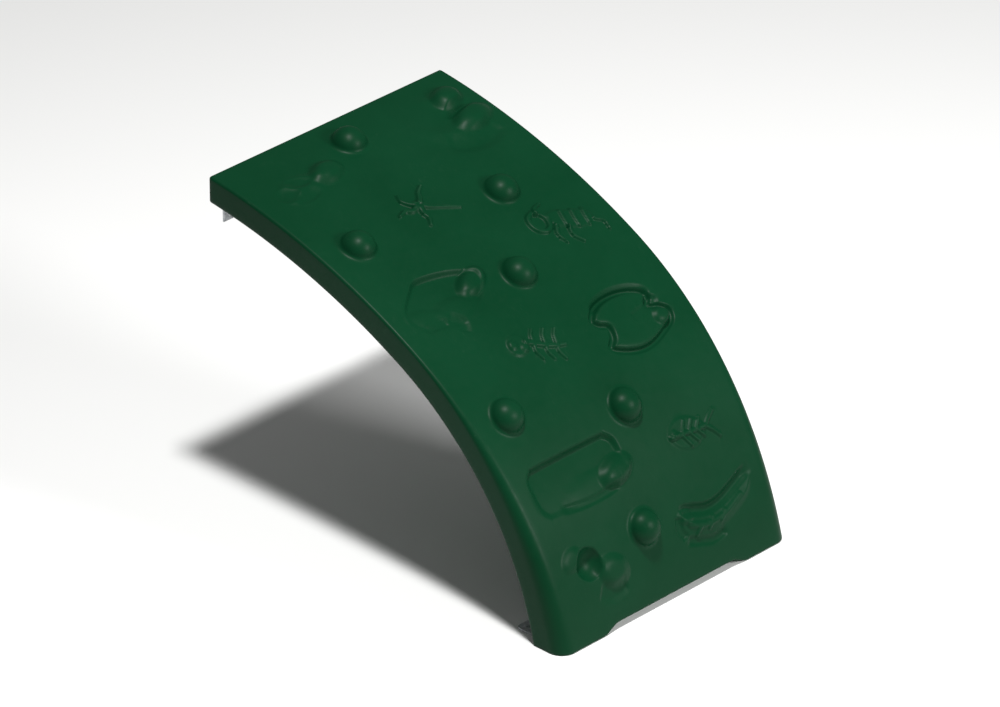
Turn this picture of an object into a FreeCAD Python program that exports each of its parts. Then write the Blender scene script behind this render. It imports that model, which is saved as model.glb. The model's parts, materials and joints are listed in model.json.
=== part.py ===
import FreeCAD, Part
import math
import os

# Arched climbing panel for a playground deck: one hollow rotationally moulded plastic
# body with moulded holds and fossils, hung on a steel angle that bolts to the deck's
# side, and held down by two steel ground brackets behind its feet.
#
# Frame, in millimetres: origin in the middle of the row of deck bolts, on the deck's
# side face. +X runs along the width, +Y goes into the deck, +Z is up.
# The climbing face looks towards -Y, and the ground is below the origin.

# ---- overall size ----
panel_width = 864.0
deck_height = 914.0
bolt_row_below_deck = 99.0
lip_above_deck = 22.0
ground_z = bolt_row_below_deck - deck_height
top_z = bolt_row_below_deck + lip_above_deck
deck_gap = 2.0

# ---- climbing face: two tangent arcs, slopes measured from level ----
top_slope = 7.0
knee_slope = 28.0
upper_radius = 2100.0
lower_radius = 1105.0
back_depth = 80.0
foot_depth = 112.0

# ---- moulding ----
wall = 6.5
edge_radius_top = 9.0
edge_radius_foot = 44.0
back_edge_radius = 12.0
end_edge_radius = 8.0
foot_width = 165.0
foot_arch_rise = 18.0
foot_arch_slope = 45.0

# ---- holds on the face: (distance across from the middle, distance down the face) ----
knob_places = [
    (-20.0, 110.0),
    (-307.0, 441.0),
    (192.0, 476.0),
    (24.0, 722.0),
    (-307.0, 1055.0),
    (50.0, 1168.0),
    (-52.0, 1474.0),
]
knob_radius = 50.0
knob_height = 42.0
pocket_place = (-267.0, 1492.0)
pocket_radius = 45.0
pocket_depth = 27.0
ledge_depth = 11.0
ledge_tilt = 5.0
long_ledge_place = (-190.0, 1274.0)
long_ledge_size = (326.0, 142.0)
long_ledge_corner = 34.0
rock_ledge_place = (-227.0, 690.0)
rock_ledge_outline = [(-145, 20), (-70, 88), (90, 62), (140, 0), (60, -70), (-20, -88), (-90, -40)]

# ---- humps: (across, down, radius, height) ----
hump_places = [
    (-166.0, 176.0, 50.0, 17.0),
    (337.0, 118.0, 48.0, 18.0),
    (337.0, 220.0, 56.0, 18.0),
    (-114.0, 688.0, 46.0, 18.0),
    (-72.0, 1308.0, 48.0, 16.0),
    (-192.0, 1538.0, 48.0, 12.0),
]
hump_root = 14.0

# ---- fossils ----
relief_height = 5.0
star_place = (-52.0, 408.0)
star_ray_length = 74.0
star_ray_radius = 8.0
star_tip_radius = 2.0
star_turn = 20.0
leaf_place = (229.0, 974.0)
leaf_radii = (116.0, 78.0)
leaf_groove_width = 12.0
leaf_groove_depth = 6.0
fossil_places = [
    (270.0, 650.0, 96.0, 58.0),
    (-96.0, 936.0, 80.0, 42.0),
    (216.0, 1305.0, 84.0, 46.0),
    (210.0, 1514.0, 126.0, 50.0),
    (-310.0, 190.0, 62.0, 42.0),
]

# ---- wells that tie the back wall to the face wall ----
well_rows = [
    (290.0, (-135.0, 135.0)),
    (560.0, (-270.0, 0.0, 270.0)),
    (850.0, (-135.0, 135.0)),
    (1130.0, (-270.0, 270.0)),
    (1400.0, (-135.0, 135.0)),
]
well_floor_radius = 17.0
well_taper = 0.25
well_reach = 134.0

# ---- steel and fasteners ----
steel = 6.0
angle_length = 760.0
angle_level_leg = 88.0
angle_upright_leg = 75.0
deck_notch_width = 776.0
deck_notch_run = 98.0
deck_hole_outer_spacing = 610.0
deck_hole_inner_spacing = 203.0
deck_hole_radius = 5.6
angle_bolt_spacing = 203.0
angle_bolt_count = 4
angle_bolt_run = 52.0
bracket_width = 100.0
bracket_base_run = 84.0
bracket_tangent_height = 60.0
bracket_seat_inset = 2.0
bracket_seat_clearance = 2.0
bracket_seat_reach = 168.0
bracket_top_above_tangent = 56.0
bracket_corner_radius = 12.0
bracket_bolt_spacing = 56.0
bracket_bolt_above_tangent = 28.0
anchor_hole_radius = 6.6
anchor_hole_spacing = 60.0
anchor_hole_from_end = 26.0
bolt_radius = 5.0
bolt_hole_radius = 5.5
bolt_grip = 24.0
bolt_head_radius = 8.75
bolt_head_height = 5.5
bolt_socket_radius = 3.4
bolt_socket_depth = 3.0
bolt_pin_radius = 1.2
head_rim = 1.0
washer_bore_radius = 5.3
washer_radius = 10.5
washer_thickness = 2.0
lock_washer_radius = 9.0
lock_washer_thickness = 2.5
lock_washer_split = 2.0
insert_flats = 20.0
insert_length = 28.0
boss_radius = 19.0
boss_length = 36.0
vent_places = [(-135.0, 22.0), (135.0, 22.0)]
vent_radius = 7.0
vent_head_radius = 12.0
vent_head_height = 3.0
vent_shank_length = 10.0

# ---- how near an edge has to be to the place it is looked for ----
match_tolerance = 0.5


def vec(x, y, z):
    return FreeCAD.Vector(x, y, z)


def sin(degrees):
    return math.sin(math.radians(degrees))


def cos(degrees):
    return math.cos(math.radians(degrees))


# ---- section geometry: every arc centre and point is (y, z) in the plane x = 0 ----

def on_arc(centre, radius, slope):
    return (centre[0] - radius * sin(slope), centre[1] + radius * cos(slope))


upper_centre = (upper_radius * sin(top_slope), top_z - upper_radius * cos(top_slope))
knee = on_arc(upper_centre, upper_radius, knee_slope)
lower_centre = on_arc(knee, -lower_radius, knee_slope)
foot_slope = math.degrees(math.acos((ground_z - lower_centre[1]) / lower_radius))
toe_y = lower_centre[0] - lower_radius * sin(foot_slope)
upper_length = math.radians(knee_slope - top_slope) * upper_radius

# The back wall follows the face at back_depth down to the knee. Below it a tighter arc
# opens the depth to foot_depth at the ground.
back_upper_radius = upper_radius - back_depth
back_knee = on_arc(upper_centre, back_upper_radius, knee_slope)
heel_y = toe_y + foot_depth
heel_offset = (heel_y - back_knee[0], ground_z - back_knee[1])
heel_distance_squared = heel_offset[0] ** 2 + heel_offset[1] ** 2
heel_drop = heel_offset[0] * sin(knee_slope) - heel_offset[1] * cos(knee_slope)
back_lower_radius = heel_distance_squared / (2 * heel_drop)
back_lower_centre = on_arc(back_knee, -back_lower_radius, knee_slope)


# The level landing under the deck end starts where the back wall meets the rear face.
rear_offset_squared = (upper_centre[0] + deck_gap) ** 2
landing_z = upper_centre[1] + math.sqrt(back_upper_radius ** 2 - rear_offset_squared)
bracket_height = ground_z + bracket_tangent_height - back_lower_centre[1]
bracket_slope = math.degrees(math.acos(bracket_height / back_lower_radius))
foot_middle = (panel_width - foot_width) / 2


def slope_at(run):
    """Slope of the face at a distance down it from the deck end."""
    if run < upper_length:
        return top_slope + math.degrees(run / upper_radius)
    return knee_slope + math.degrees((run - upper_length) / lower_radius)


def face_place(across, run):
    """Local frame on the face: x across, y up the slope, z out of the face."""
    slope = slope_at(run)
    if run < upper_length:
        y, z = on_arc(upper_centre, upper_radius, slope)
    else:
        y, z = on_arc(lower_centre, lower_radius, slope)
    return FreeCAD.Placement(vec(across, y, z), FreeCAD.Rotation(vec(1, 0, 0), slope))


def back_place(across, slope):
    """Local frame on the back wall: z goes through the wall towards the face."""
    if slope < knee_slope:
        y, z = on_arc(upper_centre, back_upper_radius, slope)
    else:
        y, z = on_arc(back_lower_centre, back_lower_radius, slope)
    return FreeCAD.Placement(vec(across, y, z), FreeCAD.Rotation(vec(1, 0, 0), slope))


def bracket_place(side):
    """Frame on the back wall behind one foot: z goes through the wall towards the face."""
    return back_place(side * foot_middle, bracket_slope)


def moved(place, across, up, through):
    """A place moved along its own axes."""
    return place.multiply(FreeCAD.Placement(vec(across, up, through), FreeCAD.Rotation()))


def deck_insert_places():
    first = -angle_bolt_spacing * (angle_bolt_count - 1) / 2
    level = FreeCAD.Rotation()
    steps = range(angle_bolt_count)
    bases = [vec(first + angle_bolt_spacing * step, -angle_bolt_run, landing_z) for step in steps]
    return [FreeCAD.Placement(base, level) for base in bases]


def bracket_insert_places(side):
    up = bracket_bolt_above_tangent
    offsets = (-bracket_bolt_spacing / 2, bracket_bolt_spacing / 2)
    return [moved(bracket_place(side), across, up, bracket_seat_inset) for across in offsets]


def insert_places():
    return deck_insert_places() + bracket_insert_places(-1) + bracket_insert_places(1)


def vent_seats():
    return [back_place(across, slope) for across, slope in vent_places]


def placed(shape, place):
    shape = shape.copy()
    shape.Placement = place.multiply(shape.Placement)
    return shape


def cylinder(radius, start, end):
    return Part.makeCylinder(radius, end - start, vec(0, 0, start))


def prism(points, start, end):
    corners = [vec(x, y, start) for x, y in points]
    outline = Part.makePolygon(corners + corners[:1])
    return Part.Face(outline).extrude(vec(0, 0, end - start))


def ellipse_prism(radius_x, radius_y, start, end):
    big = max(radius_x, radius_y)
    small = min(radius_x, radius_y)
    curve = Part.Ellipse(vec(0, 0, start), big, small)
    return Part.Face(Part.Wire(curve.toShape())).extrude(vec(0, 0, end - start))


# ---- the moulded body ----

def blank(inset):
    """The panel without holds, with every wall moved in by inset."""
    rear_y = -deck_gap - inset
    base_z = ground_z + inset
    face_upper = upper_radius - inset
    face_lower = lower_radius - inset
    back_upper = back_upper_radius + inset
    back_lower = back_lower_radius + inset
    rear_offset = upper_centre[0] - rear_y

    def rear_point(radius):
        return vec(0, rear_y, upper_centre[1] + math.sqrt(radius ** 2 - rear_offset ** 2))

    def base_point(centre, radius):
        return vec(0, centre[0] - math.sqrt(radius ** 2 - (base_z - centre[1]) ** 2), base_z)

    def arc_point(centre, radius, slope):
        return vec(0, *on_arc(centre, radius, slope))

    middle_upper = (top_slope + knee_slope) / 2
    middle_lower = (knee_slope + foot_slope) / 2
    face_top = rear_point(face_upper)
    face_knee = arc_point(upper_centre, face_upper, knee_slope)
    face_foot = base_point(lower_centre, face_lower)
    back_foot = base_point(back_lower_centre, back_lower)
    back_knee_point = arc_point(upper_centre, back_upper, knee_slope)
    back_top = rear_point(back_upper)
    edges = [
        Part.Arc(face_top, arc_point(upper_centre, face_upper, middle_upper), face_knee),
        Part.Arc(face_knee, arc_point(lower_centre, face_lower, middle_lower), face_foot),
        Part.LineSegment(face_foot, back_foot),
        Part.Arc(back_foot, arc_point(back_lower_centre, back_lower, middle_lower), back_knee_point),
        Part.Arc(back_knee_point, arc_point(upper_centre, back_upper, middle_upper), back_top),
        Part.LineSegment(back_top, face_top),
    ]
    outline = Part.Wire([edge.toShape() for edge in edges])
    half = panel_width / 2 - inset
    outline.translate(vec(-half, 0, 0))
    return Part.Face(outline).extrude(vec(2 * half, 0, 0))


def arc_edges(solid, radius):
    """The edges of a solid that are arcs of one radius."""
    arcs = [edge for edge in solid.Edges if edge.Curve.TypeId == "Part::GeomCircle"]
    return [edge for edge in arcs if abs(edge.Curve.Radius - radius) < match_tolerance]


def rounded_blank(inset):
    """The blank with its long edges rounded: the front ones more and more towards the feet."""
    solid = blank(inset)
    front = arc_edges(solid, lower_radius - inset)
    solid = solid.makeFillet(edge_radius_top - inset, edge_radius_foot - inset, front)
    back = arc_edges(solid, back_lower_radius + inset)
    solid = solid.makeFillet(back_edge_radius - inset, back)
    across = [edge for edge in solid.Edges if edge.BoundBox.XLength > panel_width / 2]
    lip = [edge for edge in across if edge.BoundBox.ZMin > bolt_row_below_deck]
    return solid.makeFillet(end_edge_radius - inset, lip)


def foot_arch(inset):
    """The strip between the two feet, which stays clear of the ground."""
    half = panel_width / 2 - foot_width + inset
    rise = foot_arch_rise + inset
    top = half - foot_arch_slope
    below = -foot_depth
    outline = [(-half, below), (-half, 0), (-top, rise), (top, rise), (half, 0), (half, below)]
    solid = prism(outline, -2 * foot_depth, 2 * foot_depth)
    solid.rotate(vec(0, 0, 0), vec(1, 0, 0), 90)
    solid.translate(vec(0, toe_y, ground_z))
    return solid


def deck_notch(inset):
    """The flat landing under the deck end, which the steel angle sits in."""
    half = deck_notch_width / 2 + inset
    run = deck_notch_run + inset
    depth = 2 * back_depth
    return Part.makeBox(2 * half, run, depth, vec(-half, -run, landing_z + inset - depth))


def bracket_seat(side, inset):
    """The flat seat in the back wall of one foot for its ground bracket."""
    half = bracket_width / 2 + bracket_seat_clearance + inset
    above = bracket_top_above_tangent + bracket_seat_clearance + inset
    corner = vec(-half, -bracket_seat_reach, bracket_seat_inset + inset - foot_depth)
    seat = Part.makeBox(2 * half, above + bracket_seat_reach, foot_depth, corner)
    return placed(seat, bracket_place(side))


def ball(base_radius, height, growth):
    """A ball that shows as a cap of the given height above z = 0."""
    radius = (base_radius ** 2 + height ** 2) / (2 * height)
    return Part.makeSphere(radius + growth, vec(0, 0, height - radius))


def hump(radius, height):
    """A low cap on a short root, which joins it to the face or to a ledge's floor."""
    return ball(radius, height, 0).common(cylinder(radius, -hump_root, height))


def pocket_ball(growth):
    radius = (pocket_radius ** 2 + pocket_depth ** 2) / (2 * pocket_depth)
    return Part.makeSphere(radius + growth, vec(0, 0, radius - pocket_depth))


def grown(outline, growth):
    """An outline about its own middle, moved out by growth."""
    return [(x * (1 + growth / math.hypot(x, y)), y * (1 + growth / math.hypot(x, y))) for x, y in outline]


def tilted(solid):
    """A ledge's cutting solid, with its floor set deeper at the ledge's upper edge."""
    solid.rotate(vec(0, 0, 0), vec(1, 0, 0), -ledge_tilt)
    solid.translate(vec(0, 0, -ledge_depth))
    return solid


def long_ledge(growth):
    half_x = long_ledge_size[0] / 2 + growth
    half_y = long_ledge_size[1] / 2 + growth
    outline = [(-half_x, -half_y), (half_x, -half_y), (half_x, half_y), (-half_x, half_y)]
    solid = prism(outline, -growth, back_depth)
    upright = [edge for edge in solid.Edges if edge.BoundBox.ZLength > ledge_depth]
    return tilted(solid.makeFillet(long_ledge_corner + growth, upright))


def rock_ledge(growth):
    return tilted(prism(grown(rock_ledge_outline, growth), -growth, back_depth))


def leaf_groove():
    outside = ellipse_prism(leaf_radii[0], leaf_radii[1], -leaf_groove_depth, back_depth)
    island_x = leaf_radii[0] - leaf_groove_width
    island_y = leaf_radii[1] - leaf_groove_width
    return outside.cut(ellipse_prism(island_x, island_y, -2 * leaf_groove_depth, 2 * back_depth))


def leaf_backing():
    return ellipse_prism(leaf_radii[0] + wall, leaf_radii[1] + wall, -leaf_groove_depth - wall, back_depth)


def star_rays():
    """Five tapered rays that lie half sunk in the face."""
    rays = []
    centre = vec(0, 0, 0)
    for number in range(5):
        turn = star_turn + 72 * number
        direction = vec(sin(turn), cos(turn), 0)
        rays.append(Part.makeCone(star_ray_radius, star_tip_radius, star_ray_length, centre, direction))
    return rays


def well(growth, end):
    """A tapered well from the back wall to just under the face wall."""
    start = -well_reach
    floor = -2 * wall
    mouth_radius = well_floor_radius + well_taper * (floor - start)
    end_radius = well_floor_radius - well_taper * (end - floor)
    return Part.makeCone(mouth_radius + growth, end_radius + growth, end - start, vec(0, 0, start))


def well_places():
    return [face_place(across, run) for run, columns in well_rows for across in columns]


def climber_body():
    """The moulding: outer form less inner form, with the same wall behind every hold."""
    outer = rounded_blank(0)
    inner = rounded_blank(wall)
    outer = outer.cut([foot_arch(0), deck_notch(0), bracket_seat(-1, 0), bracket_seat(1, 0)])
    inner = inner.cut([foot_arch(wall), deck_notch(wall), bracket_seat(-1, wall), bracket_seat(1, wall)])

    knobs = [face_place(across, run) for across, run in knob_places]
    outer_added = [placed(ball(knob_radius, knob_height, 0), place) for place in knobs]
    inner_added = [placed(ball(knob_radius, knob_height, -wall), place) for place in knobs]
    outer_added += [placed(ray, face_place(*star_place)) for ray in star_rays()]
    for across, run, radius_x, radius_y in fossil_places:
        oval = ellipse_prism(radius_x, radius_y, -relief_height, relief_height)
        outer_added.append(placed(oval, face_place(across, run)))
    outer = outer.fuse(outer_added)
    inner = inner.fuse(inner_added)

    pocket = face_place(*pocket_place)
    long_place = face_place(*long_ledge_place)
    rock_place = face_place(*rock_ledge_place)
    leaf = face_place(*leaf_place)
    wells = well_places()
    outer_removed = [
        placed(pocket_ball(0), pocket),
        placed(long_ledge(0), long_place),
        placed(rock_ledge(0), rock_place),
        placed(leaf_groove(), leaf),
    ]
    outer_removed += [placed(well(0, -2 * wall), place) for place in wells]
    outer_removed += [placed(threaded_insert_blank(), place) for place in insert_places()]
    outer_removed += [placed(cylinder(vent_radius, -wall, 2 * wall), place) for place in vent_seats()]
    inner_removed = [
        placed(pocket_ball(wall), pocket),
        placed(long_ledge(wall), long_place),
        placed(rock_ledge(wall), rock_place),
        placed(leaf_backing(), leaf),
    ]
    inner_removed += [placed(well(wall, 0), place) for place in wells]
    inner_removed += [placed(cylinder(boss_radius, -wall, boss_length), place) for place in insert_places()]
    shell = outer.cut(outer_removed).cut(inner.cut(inner_removed))
    humps = []
    for across, run, radius, height in hump_places:
        humps.append(placed(hump(radius, height), face_place(across, run)))
    return shell.fuse(humps)


# ---- steel ----

def deck_angle():
    """Steel angle: its level leg carries the body and its upright leg bolts to the deck."""
    level_end = -angle_level_leg
    low = landing_z - angle_upright_leg
    under = landing_z - steel
    outline = [
        (0, landing_z),
        (level_end, landing_z),
        (level_end, under),
        (-steel, under),
        (-steel, low),
        (0, low),
    ]
    half = angle_length / 2
    corners = [vec(-half, y, z) for y, z in outline]
    section = Part.Face(Part.makePolygon(corners + corners[:1]))
    solid = section.extrude(vec(angle_length, 0, 0))
    long_edges = [edge for edge in solid.Edges if edge.BoundBox.XLength > 1]
    root = [edge for edge in long_edges if near(edge, -steel, under)]
    toes = [edge for edge in long_edges if near(edge, level_end, under) or near(edge, -steel, low)]
    solid = solid.makeFillet(steel, root)
    solid = solid.makeFillet(steel / 2, edges_like(solid, toes))
    holes = []
    for place in deck_insert_places():
        holes.append(placed(cylinder(bolt_hole_radius, -2 * steel, steel), place))
    for spacing in (deck_hole_outer_spacing, deck_hole_inner_spacing):
        for side in (-1, 1):
            start = vec(side * spacing / 2, -2 * steel, 0)
            holes.append(Part.makeCylinder(deck_hole_radius, 4 * steel, start, vec(0, 1, 0)))
    return solid.cut(holes)


def near(edge, y, z):
    middle = edge.BoundBox.Center
    return abs(middle.y - y) < match_tolerance and abs(middle.z - z) < match_tolerance


def edges_like(solid, wanted):
    """The solid's own edges at the places of the wanted ones, after an earlier fillet."""
    places = [edge.BoundBox.Center for edge in wanted]
    long_edges = [edge for edge in solid.Edges if edge.BoundBox.XLength > 1]
    return [edge for edge in long_edges for place in places if near(edge, place.y, place.z)]


def ground_bracket(side):
    """Bent plate behind a foot: one leg up the back wall, one leg along the ground."""
    place = bracket_place(side)
    outer_face = bracket_seat_inset
    inner_face = bracket_seat_inset - steel

    def on_leg(through, up):
        point = place.multVec(vec(0, up, through))
        return (point.y, point.z)

    def up_at(through, z):
        return (z - place.Base.z - through * cos(bracket_slope)) / sin(bracket_slope)

    heel = on_leg(outer_face, up_at(outer_face, ground_z))
    base_end = heel[0] + bracket_base_run + steel
    outline = [
        heel,
        on_leg(outer_face, bracket_top_above_tangent),
        on_leg(inner_face, bracket_top_above_tangent),
        on_leg(inner_face, up_at(inner_face, ground_z + steel)),
        (base_end, ground_z + steel),
        (base_end, ground_z),
    ]
    start = side * foot_middle - bracket_width / 2
    corners = [vec(start, y, z) for y, z in outline]
    solid = Part.Face(Part.makePolygon(corners + corners[:1])).extrude(vec(bracket_width, 0, 0))
    long_edges = [edge for edge in solid.Edges if edge.BoundBox.XLength > 1]
    bend = [edge for edge in long_edges if near(edge, *outline[3])]
    solid = solid.makeFillet(steel, bend)
    corner_edges = []
    for edge in solid.Edges:
        middle = edge.BoundBox.Center
        short = edge.BoundBox.DiagonalLength < 1.5 * steel and edge.BoundBox.XLength < 1
        at_base_end = abs(middle.y - base_end) < match_tolerance
        at_top = middle.z > outline[2][1] - steel and middle.z < outline[1][1] + steel
        if short and (at_base_end or at_top):
            corner_edges.append(edge)
    solid = solid.makeFillet(bracket_corner_radius, corner_edges)
    holes = []
    for spot in bracket_insert_places(side):
        holes.append(placed(cylinder(bolt_hole_radius, -2 * steel, steel), spot))
    for end in (-1, 1):
        across = side * foot_middle + end * anchor_hole_spacing / 2
        start = vec(across, base_end - anchor_hole_from_end, ground_z - steel)
        holes.append(Part.makeCylinder(anchor_hole_radius, 3 * steel, start))
    return solid.cut(holes)


# ---- fasteners: z = 0 is where the steel meets the plastic, and the head is below it ----

def hexagon(flats, start, end):
    corner = flats / 2 / cos(30)
    return prism([(corner * sin(60 * k), corner * cos(60 * k)) for k in range(6)], start, end)


def threaded_insert_blank():
    return hexagon(insert_flats, 0, insert_length)


def threaded_insert():
    return threaded_insert_blank().cut(cylinder(bolt_radius, -1, bolt_grip + 1))


def washer():
    return cylinder(washer_radius, -steel - washer_thickness, -steel).cut(bolt_clearance())


def bolt_clearance():
    return cylinder(washer_bore_radius, -4 * steel, 0)


def lock_washer():
    top = -steel - washer_thickness
    ring = cylinder(lock_washer_radius, top - lock_washer_thickness, top).cut(bolt_clearance())
    gap_corner = vec(0, -lock_washer_split / 2, top - lock_washer_thickness)
    return ring.cut(Part.makeBox(lock_washer_radius + 1, lock_washer_split, lock_washer_thickness, gap_corner))


def button_bolt():
    """Dome-headed bolt with a hexagon socket and a tamper-proof centre pin."""
    under_head = -steel - washer_thickness - lock_washer_thickness
    head_end = under_head - bolt_head_height
    head = cylinder(bolt_head_radius, head_end, under_head)
    rim = [edge for edge in head.Edges if abs(edge.BoundBox.ZMax - head_end) < match_tolerance]
    head = head.makeFillet(bolt_head_height - head_rim, rim)
    socket = hexagon(2 * bolt_socket_radius, head_end - 1, head_end + bolt_socket_depth)
    pin = cylinder(bolt_pin_radius, head_end, head_end + bolt_socket_depth + 1)
    return head.cut(socket).fuse([pin, cylinder(bolt_radius, under_head, bolt_grip)]).removeSplitter()


def vent_plug():
    head = cylinder(vent_head_radius, -vent_head_height, 0)
    rim = [edge for edge in head.Edges if abs(edge.BoundBox.ZMax + vent_head_height) < match_tolerance]
    head = head.makeFillet(vent_head_height - head_rim, rim)
    return head.fuse(cylinder(vent_radius, 0, vent_shank_length))


def group(shape, places):
    return Part.makeCompound([placed(shape, place) for place in places])


def fasteners(prefix, inserts_name, places):
    """One bolt, two washers and an insert at each place, as four groups."""
    return {
        prefix + "_bolts": group(button_bolt(), places),
        prefix + "_washers": group(washer(), places),
        prefix + "_lock_washers": group(lock_washer(), places),
        inserts_name: group(threaded_insert(), places),
    }


# ---- all nodes ----

def nodes():
    made = {"climber_body": climber_body(), "deck_angle": deck_angle()}
    made.update(fasteners("deck_angle", "deck_inserts", deck_insert_places()))
    for name, side in (("left", -1), ("right", 1)):
        made[name + "_ground_bracket"] = ground_bracket(side)
        bracket_name = name + "_bracket"
        made.update(fasteners(bracket_name, bracket_name + "_inserts", bracket_insert_places(side)))
    made["vent_plugs"] = group(vent_plug(), vent_seats())
    return made


os.makedirs("parts", exist_ok=True)
for node_name, node_shape in nodes().items():
    node_shape.exportStep("parts/" + node_name + ".step")
    solids = len(node_shape.Solids)
    print(node_name, solids, node_shape.isValid(), round(node_shape.Volume / 1000, 1), "cm3")
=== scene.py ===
import json
import math
import bpy
import numpy as np
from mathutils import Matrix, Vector


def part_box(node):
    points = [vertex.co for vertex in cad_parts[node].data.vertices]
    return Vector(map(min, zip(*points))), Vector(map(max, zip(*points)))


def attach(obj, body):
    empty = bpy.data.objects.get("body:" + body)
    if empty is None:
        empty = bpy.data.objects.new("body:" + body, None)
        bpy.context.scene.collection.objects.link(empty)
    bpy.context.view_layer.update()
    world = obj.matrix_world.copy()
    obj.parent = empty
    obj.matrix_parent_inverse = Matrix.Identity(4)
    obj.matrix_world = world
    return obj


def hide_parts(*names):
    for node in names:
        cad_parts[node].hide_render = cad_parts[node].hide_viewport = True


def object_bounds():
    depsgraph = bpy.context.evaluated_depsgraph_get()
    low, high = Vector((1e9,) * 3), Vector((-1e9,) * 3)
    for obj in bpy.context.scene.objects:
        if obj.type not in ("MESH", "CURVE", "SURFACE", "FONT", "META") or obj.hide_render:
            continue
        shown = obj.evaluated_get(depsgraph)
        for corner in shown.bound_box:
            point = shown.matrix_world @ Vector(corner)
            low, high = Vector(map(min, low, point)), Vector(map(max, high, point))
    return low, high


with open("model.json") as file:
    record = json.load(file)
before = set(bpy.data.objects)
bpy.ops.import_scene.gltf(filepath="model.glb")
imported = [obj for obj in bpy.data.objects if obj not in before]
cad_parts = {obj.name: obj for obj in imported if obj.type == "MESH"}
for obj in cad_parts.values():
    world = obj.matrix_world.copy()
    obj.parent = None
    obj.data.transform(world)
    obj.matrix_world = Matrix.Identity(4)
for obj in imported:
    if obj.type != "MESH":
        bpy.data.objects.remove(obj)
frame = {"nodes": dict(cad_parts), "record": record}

# Looks of an arched climbing panel: one moulded green body with knobs, ledges and fossils,
# and the steel parts that hold it. Lengths are in millimetres until a mesh is made.

cad_low, cad_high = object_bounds()
body_low, body_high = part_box("climber_body")
MM = 0.001

# ---- overall shape, as the CAD body's ----
HALF = body_high.x / MM
GROUND = body_low.z / MM
TOE_Y = body_low.y / MM
REAR_Y = body_high.y / MM
TOP_SLOPE = math.radians(7)
KNEE_SLOPE = math.radians(28)
UPPER_R = 2100.0
LOWER_R = 1105.0
BACK_DEPTH = 80.0
FOOT_DEPTH = 112.0
LIP_Z = 121.0
LANDING_Z = 40.12
NOTCH_HALF = 388.0
NOTCH_Y = -98.0
EDGE_R_TOP = 9.0
EDGE_R_FOOT = 44.0
BACK_EDGE_R = 12.0
LIP_R = 8.0
BASE_R = 5.0
ARCH_HALF = HALF - 165.0
ARCH_RISE = 18.0
ARCH_SLOPE = 45.0

UPPER_C = (UPPER_R * math.sin(TOP_SLOPE), LIP_Z - UPPER_R * math.cos(TOP_SLOPE))
KNEE = (UPPER_C[0] - UPPER_R * math.sin(KNEE_SLOPE),
        UPPER_C[1] + UPPER_R * math.cos(KNEE_SLOPE))
LOWER_C = (KNEE[0] + LOWER_R * math.sin(KNEE_SLOPE),
           KNEE[1] - LOWER_R * math.cos(KNEE_SLOPE))
FOOT_SLOPE = math.acos((GROUND - LOWER_C[1]) / LOWER_R)
UPPER_RUN = (KNEE_SLOPE - TOP_SLOPE) * UPPER_R
FULL_RUN = UPPER_RUN + (FOOT_SLOPE - KNEE_SLOPE) * LOWER_R
FIRST_SLOPE = math.asin((UPPER_C[0] - REAR_Y) / UPPER_R)
FIRST_RUN = (FIRST_SLOPE - TOP_SLOPE) * UPPER_R

BACK_UPPER_R = UPPER_R - BACK_DEPTH
BACK_KNEE = (UPPER_C[0] - BACK_UPPER_R * math.sin(KNEE_SLOPE),
             UPPER_C[1] + BACK_UPPER_R * math.cos(KNEE_SLOPE))
HEEL = (TOE_Y + FOOT_DEPTH - BACK_KNEE[0], GROUND - BACK_KNEE[1])
BACK_LOWER_R = (HEEL[0] ** 2 + HEEL[1] ** 2) / (
    2 * (HEEL[0] * math.sin(KNEE_SLOPE) - HEEL[1] * math.cos(KNEE_SLOPE)))
BACK_LOWER_C = (BACK_KNEE[0] + BACK_LOWER_R * math.sin(KNEE_SLOPE),
                BACK_KNEE[1] - BACK_LOWER_R * math.cos(KNEE_SLOPE))
BACK_FIRST_SLOPE = math.asin((UPPER_C[0] - REAR_Y) / BACK_UPPER_R)
BACK_FOOT_SLOPE = math.acos((GROUND - BACK_LOWER_C[1]) / BACK_LOWER_R)

# ---- holds, as (across from the middle, distance down the face) ----
KNOBS = [(-20, 110), (-307, 441), (192, 476), (24, 722), (-307, 1055), (50, 1168), (-52, 1474)]
KNOB_R = 50.0
KNOB_H = 41.9
KNOB_FILLET = 14.0
KNOB_REACH = 84.0
POCKET = (-267.0, 1492.0)
POCKET_R = 45.0
POCKET_D = 27.0
POCKET_FILLET = 6.0
POCKET_REACH = 66.0
CAP_POINTS = 30
FILLET_POINTS = 10

# ---- wells in the back wall, as (distance down the face, places across) ----
WELLS = [
    (290, (-135, 135)), (560, (-270, 0, 270)), (850, (-135, 135)),
    (1130, (-270, 270)), (1400, (-135, 135)),
]
WELL_FLOOR_R = 17.0
WELL_TAPER = 0.25
WELL_STOP = 13.0
WELL_FLOOR_EDGE = 2.0
WELL_LIP = 8.0
WELL_REACH = 24.0
WELL_SOFT = 7.0
WELL_SEARCH = 30.0
WELL_DEEPEST = 200.0

# ---- flat seats behind the feet, for the ground brackets ----
SEAT_MIDDLE = HALF - 82.5
SEAT_HALF = 52.0
SEAT_TOP = 58.0
SEAT_DEPTH = 2.0
SEAT_TANGENT = 60.0
SEAT_EDGE = 3.0

# ---- edges of the reliefs, as shares of their own width ----
RIDGE_EDGE = 0.62
GROOVE_EDGE = 0.8
GROOVE_ENDS = 0.12
LEDGE_FALL = 1.2

# ---- distances over which the reliefs fade out at the face's borders ----
FADE_SIDE = 20.0
FADE_FOOT = 40.0
FADE_TOP = 30.0

# ---- how the end rows are brought into their planes ----
LIFT_START = 0.8
TOP_SLIDE = 70.0
FOOT_SLIDE = 160.0
BACK_INSET = 0.4
LEAST_CORNER = 1.0
NOTCH_SLACK = 0.1

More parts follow.
